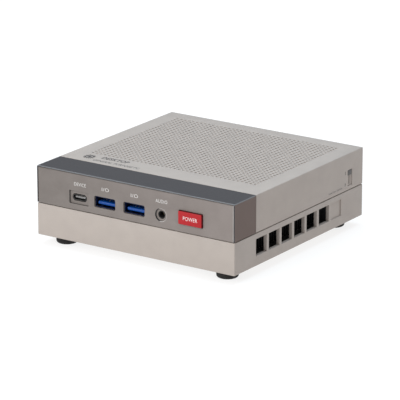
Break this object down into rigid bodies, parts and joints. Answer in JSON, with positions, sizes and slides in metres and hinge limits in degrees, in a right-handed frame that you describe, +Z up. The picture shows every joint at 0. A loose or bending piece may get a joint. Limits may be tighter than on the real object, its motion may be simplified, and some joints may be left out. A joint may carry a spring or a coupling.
{
  "type": "mini computer",
  "caption": "Low square desktop mini computer with a dark bezel band, a row of front sockets, a red power button, a perforated top, side vents and round rubber feet.",
  "frame": {"origin": "on the table, under the middle of the bounding box: midway between the face of the power button and the rear wall, and midway between the side walls", "axes": "+Z up, -Y towards the front with the sockets and the power button, +X towards the side with the slide switch"},
  "size_m": [0.128, 0.1292, 0.0444],
  "materials": {
    "shell": "fine moulded grain, warm light grey",
    "bezel": "smooth moulded, slate grey",
    "fascia": "smooth moulded, warm mid grey",
    "button": "satin red",
    "black_plastic": "matte black",
    "blue_plastic": "smooth blue",
    "rubber": "matte black rubber",
    "steel": "plated, fine brushing",
    "copper": "bare copper",
    "board": "green solder mask",
    "chip": "moulded epoxy",
    "dark_metal": "dark grey coat"
  },
  "bodies": {
    "case": {"upper_shell": "shell", "lower_shell": "shell", "front_bezel": "bezel", "front_fascia": "fascia", "rear_panel": "black_plastic", "foot_front_left": "rubber", "foot_front_right": "rubber", "foot_rear_left": "rubber", "foot_rear_right": "rubber", "case_screw_front_left": "steel", "case_screw_front_right": "steel", "case_screw_rear_left": "steel", "case_screw_rear_right": "steel", "power_switch": "black_plastic", "usb_front_left_shell": "steel", "usb_front_left_tongue": "blue_plastic", "usb_front_right_shell": "steel", "usb_front_right_tongue": "blue_plastic", "usb_c_shell": "steel", "usb_c_tongue": "black_plastic", "audio_jack": "black_plastic", "usb_rear_left_shell": "steel", "usb_rear_left_tongue": "blue_plastic", "usb_rear_right_shell": "steel", "usb_rear_right_tongue": "blue_plastic", "hdmi_socket": "steel", "display_socket": "steel", "lan_jack": "steel", "dc_jack": "black_plastic", "slide_switch": "black_plastic", "main_board": "board", "memory_socket_lower": "black_plastic", "memory_module_lower": "board", "memory_socket_upper": "black_plastic", "memory_module_upper": "board", "storage_socket": "black_plastic", "storage_card": "board", "storage_screw": "steel", "wireless_socket": "black_plastic", "wireless_card": "board", "coin_cell": "steel", "antenna_left": "dark_metal", "antenna_right": "dark_metal", "antenna_lead_right": "black_plastic", "antenna_lead_left": "black_plastic", "processor": "chip", "cold_plate": "copper", "heat_pipe_front": "copper", "heat_pipe_rear": "copper", "fan_housing": "black_plastic", "fin_stack": "dark_metal", "exhaust_duct": "black_plastic", "dust_filter": "black_plastic"},
    "power_button": {"power_button": "button", "power_switch_plunger": "steel"},
    "slide_knob": {"slide_knob": "dark_metal"},
    "fan": {"fan_rotor": "black_plastic"}
  },
  "joints": [
    {"name": "power_button_press", "type": "slide", "parent": "case", "child": "power_button", "axis": [0, 1, 0], "range_m": [0, 0.0006], "stiffness_N_per_m": 1200, "springref_m": -0.0008},
    {"name": "slide_switch_travel", "type": "slide", "parent": "case", "child": "slide_knob", "axis": [0, 0, -1], "range_m": [0, 0.0058]},
    {"name": "fan_spin", "type": "hinge", "parent": "case", "child": "fan", "pos_m": [0.0065, -0.0064, 0.0135], "axis": [0, 0, 1], "continuous": true}
  ]
}
